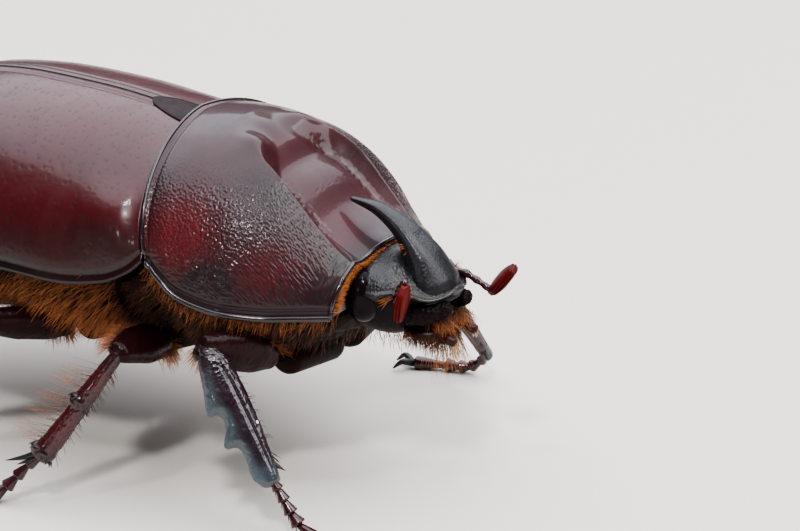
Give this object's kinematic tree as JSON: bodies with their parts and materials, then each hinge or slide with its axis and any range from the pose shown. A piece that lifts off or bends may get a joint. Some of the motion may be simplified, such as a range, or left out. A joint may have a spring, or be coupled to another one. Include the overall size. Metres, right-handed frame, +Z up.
{
  "type": "rhinoceros beetle",
  "caption": "Still, life-size male rhinoceros beetle with a curved horn, a hollowed pronotum and domed wing cases, standing on its feet.",
  "frame": {"origin": "on the floor, under the centre of the whole model's box", "axes": "+Z up; the beetle faces -Y and its left side is towards +X"},
  "size_m": [0.031, 0.0404, 0.0189],
  "materials": {
    "wing_case": "glossy mahogany chitin, finely pricked",
    "pronotum": "satin dark red chitin, wrinkled and pitted",
    "black_horn": "satin black chitin, pitted and dusty",
    "leg": "glossy black-red chitin",
    "club": "satin dark red",
    "eye": "polished black, finely faceted",
    "belly": "brown chitin under rust-coloured hair"
  },
  "bodies": {
    "root": {"pronotum": "pronotum", "prosternum": "belly", "mesosternum": "belly", "metasternum": "belly", "abdomen": "belly", "pygidium": "wing_case", "scutellum": "black_horn", "elytron_left": "wing_case", "elytron_right": "wing_case", "head": "black_horn", "horn": "black_horn", "labium": "belly", "eye_left": "eye", "mandible_left": "black_horn", "palp_left": "leg", "antenna_left": "leg", "antenna_club_left": "club", "eye_right": "eye", "mandible_right": "black_horn", "palp_right": "leg", "antenna_right": "leg", "antenna_club_right": "club", "coxa_fore_right": "leg", "femur_fore_right": "leg", "tibia_fore_right": "leg", "tarsus_fore_right": "leg", "claws_fore_right": "black_horn", "coxa_fore_left": "leg", "femur_fore_left": "leg", "tibia_fore_left": "leg", "tarsus_fore_left": "leg", "claws_fore_left": "black_horn", "coxa_mid_right": "leg", "femur_mid_right": "leg", "tibia_mid_right": "leg", "tarsus_mid_right": "leg", "claws_mid_right": "black_horn", "coxa_mid_left": "leg", "femur_mid_left": "leg", "tibia_mid_left": "leg", "tarsus_mid_left": "leg", "claws_mid_left": "black_horn", "coxa_hind_right": "leg", "femur_hind_right": "leg", "tibia_hind_right": "leg", "tarsus_hind_right": "leg", "claws_hind_right": "black_horn", "coxa_hind_left": "leg", "femur_hind_left": "leg", "tibia_hind_left": "leg", "tarsus_hind_left": "leg", "claws_hind_left": "black_horn"}
  },
  "joints": []
}
